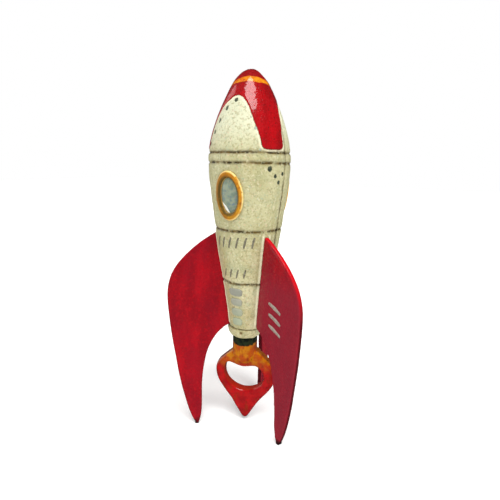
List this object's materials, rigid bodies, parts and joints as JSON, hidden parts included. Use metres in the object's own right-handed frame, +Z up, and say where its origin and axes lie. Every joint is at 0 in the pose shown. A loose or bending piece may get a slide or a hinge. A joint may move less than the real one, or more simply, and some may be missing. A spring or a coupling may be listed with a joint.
{
  "type": "rocket-shaped bottle opener",
  "caption": "Painted cast-metal toy rocket standing on swept fins, with porthole windows and a crown-cap opener shaped as its tail flame.",
  "frame": {"origin": "on the floor, under the rocket's axis, in the plane of the flats on the fin tips", "axes": "+Z up along the rocket's axis to its nose; -Y is the front, half way between the left and the right fin, where the front porthole is; +X is the rocket's right-hand side as seen from the front"},
  "size_m": [0.0905, 0.0788, 0.2296],
  "materials": {
    "ivory_paint": "ivory paint over rough cast metal, brown patina in the grooves",
    "red_paint": "glossy red enamel with worn dark edges",
    "ochre_paint": "orange-gold paint, brown in the corners",
    "flame_paint": "glossy orange running into red, black at the neck",
    "porthole_glass": "opaque grey-green glass",
    "bare_steel": "plain steel, hidden inside"
  },
  "bodies": {
    "root": {"fin_back": "red_paint", "fin_left": "red_paint", "fin_pins_back": "bare_steel", "fin_pins_left": "bare_steel", "fin_pins_right": "bare_steel", "fin_right": "red_paint", "hull_back": "ivory_paint", "hull_front": "ivory_paint", "nose_cap": "red_paint", "opener_flame": "flame_paint", "porthole_glass_front": "porthole_glass", "porthole_glass_left": "porthole_glass", "porthole_glass_right": "porthole_glass", "porthole_ring_front": "ochre_paint", "porthole_ring_left": "ochre_paint", "porthole_ring_right": "ochre_paint", "seam_dowels": "bare_steel", "tail_collar": "ivory_paint", "tail_pin": "bare_steel", "tie_rod": "bare_steel"}
  },
  "joints": []
}
